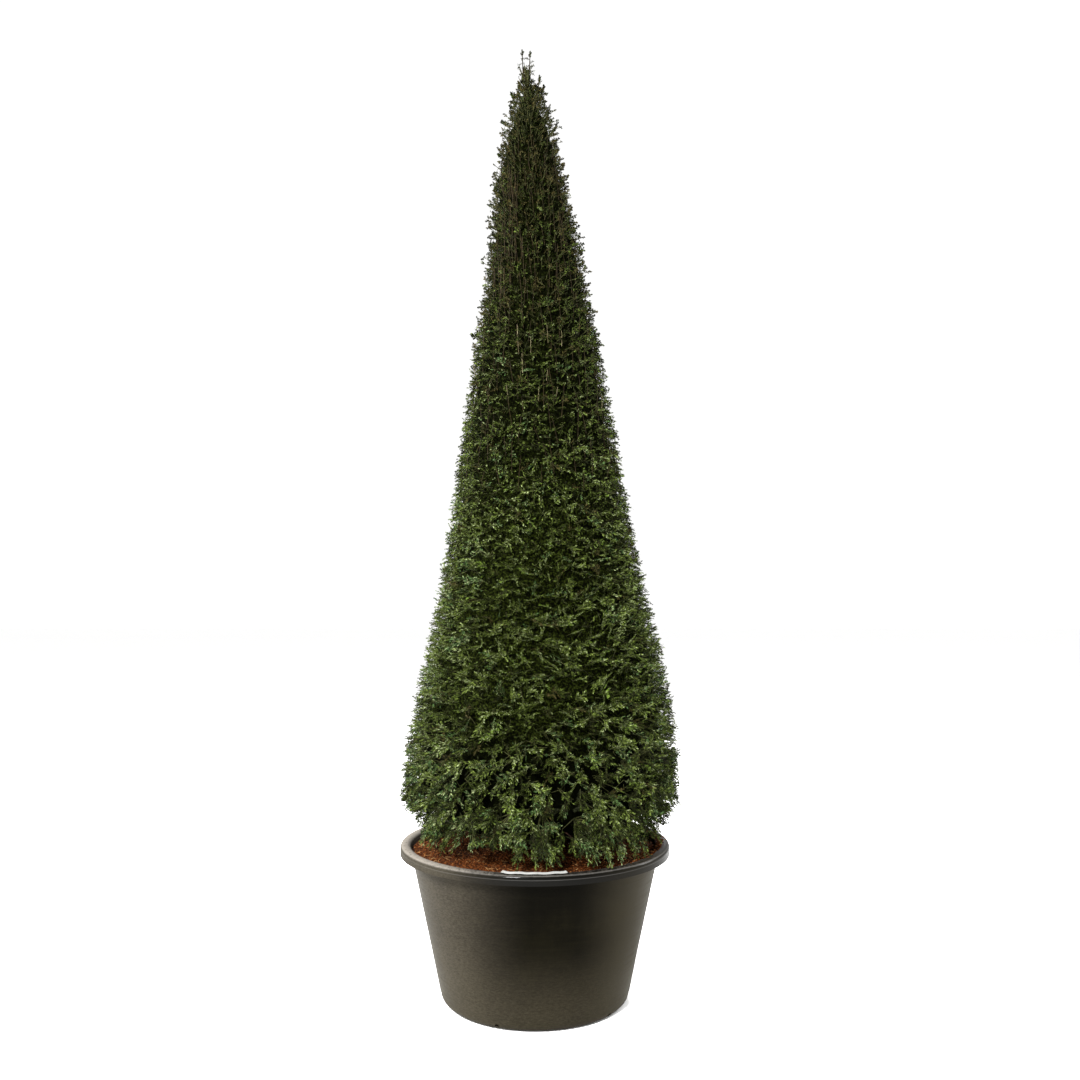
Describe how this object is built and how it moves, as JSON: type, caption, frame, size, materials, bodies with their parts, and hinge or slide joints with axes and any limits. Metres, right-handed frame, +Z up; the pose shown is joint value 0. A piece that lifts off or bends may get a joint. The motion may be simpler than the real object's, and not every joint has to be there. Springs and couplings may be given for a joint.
{
  "type": "potted yew cone topiary",
  "caption": "Tall clipped cone of dark evergreen yew on one trunk, standing in a round black plastic nursery tub filled with bark soil, with a blank label strip on the rim.",
  "frame": {"origin": "centre of the tub's flat underside, on the surface it stands on", "axes": "+Z up along the tub's axis; the front, which the label faces, looks along -Y; +X is to the right of someone who looks at the front"},
  "size_m": [1.0911, 1.0852, 3.7802],
  "materials": {
    "tub_plastic": "black moulded polyethylene, dusty and slightly shiny",
    "soil_mix": "damp red-brown bark and coir mix",
    "label_strip": "bare white plastic strip",
    "yew_bark": "flaking red-brown bark",
    "yew_needles": "dark green, slightly waxy needles"
  },
  "bodies": {
    "root": {"tub": "tub_plastic", "soil": "soil_mix", "label": "label_strip", "trunk": "yew_bark", "foliage_skirt_1": "yew_needles", "foliage_skirt_2": "yew_needles", "foliage_skirt_3": "yew_needles", "foliage_skirt_4": "yew_needles", "foliage_skirt_5": "yew_needles", "foliage_skirt_6": "yew_needles", "foliage_low_1": "yew_needles", "foliage_low_2": "yew_needles", "foliage_low_3": "yew_needles", "foliage_low_4": "yew_needles", "foliage_low_5": "yew_needles", "foliage_middle_1": "yew_needles", "foliage_middle_2": "yew_needles", "foliage_middle_3": "yew_needles", "foliage_middle_4": "yew_needles", "foliage_middle_5": "yew_needles", "foliage_high_1": "yew_needles", "foliage_high_2": "yew_needles", "foliage_high_3": "yew_needles", "foliage_high_4": "yew_needles", "foliage_top_1": "yew_needles", "foliage_top_2": "yew_needles", "foliage_top_3": "yew_needles", "foliage_neck_1": "yew_needles", "foliage_neck_2": "yew_needles", "foliage_neck_3": "yew_needles", "foliage_spire": "yew_needles"}
  },
  "joints": []
}
